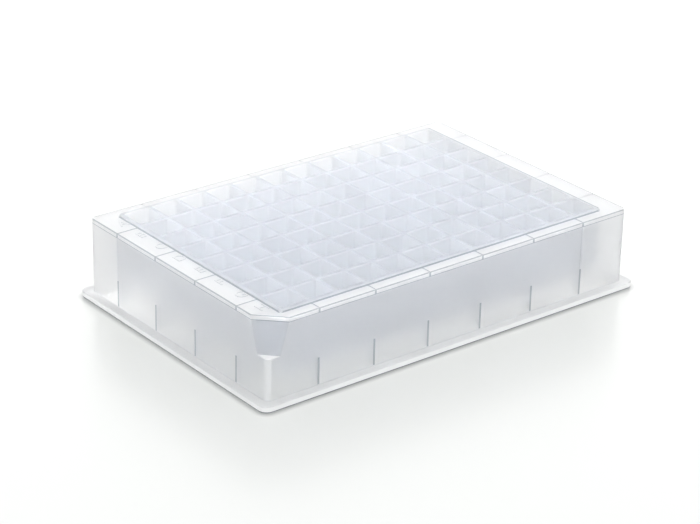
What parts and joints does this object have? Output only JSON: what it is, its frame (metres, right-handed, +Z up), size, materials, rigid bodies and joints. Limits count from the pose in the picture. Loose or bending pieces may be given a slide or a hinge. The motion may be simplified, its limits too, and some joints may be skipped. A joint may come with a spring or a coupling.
{
  "type": "well plate",
  "caption": "Low rectangular plate of square open wells with pyramid bottoms, hollow skirt, stepped foot and one cut corner.",
  "frame": {"origin": "centre of the foot, on the surface that the plate stands on", "axes": "+X along the rows of wells, from the side with the row letters to the far short side; +Y along the columns, from the long side beside the cut corner to the other; +Z up, out of the wells"},
  "size_m": [0.1278, 0.0854, 0.0241],
  "materials": {
    "natural_polypropylene": "translucent natural polypropylene, smooth moulded with a faint satin"
  },
  "bodies": {
    "root": {"well_plate": "natural_polypropylene"}
  },
  "joints": []
}
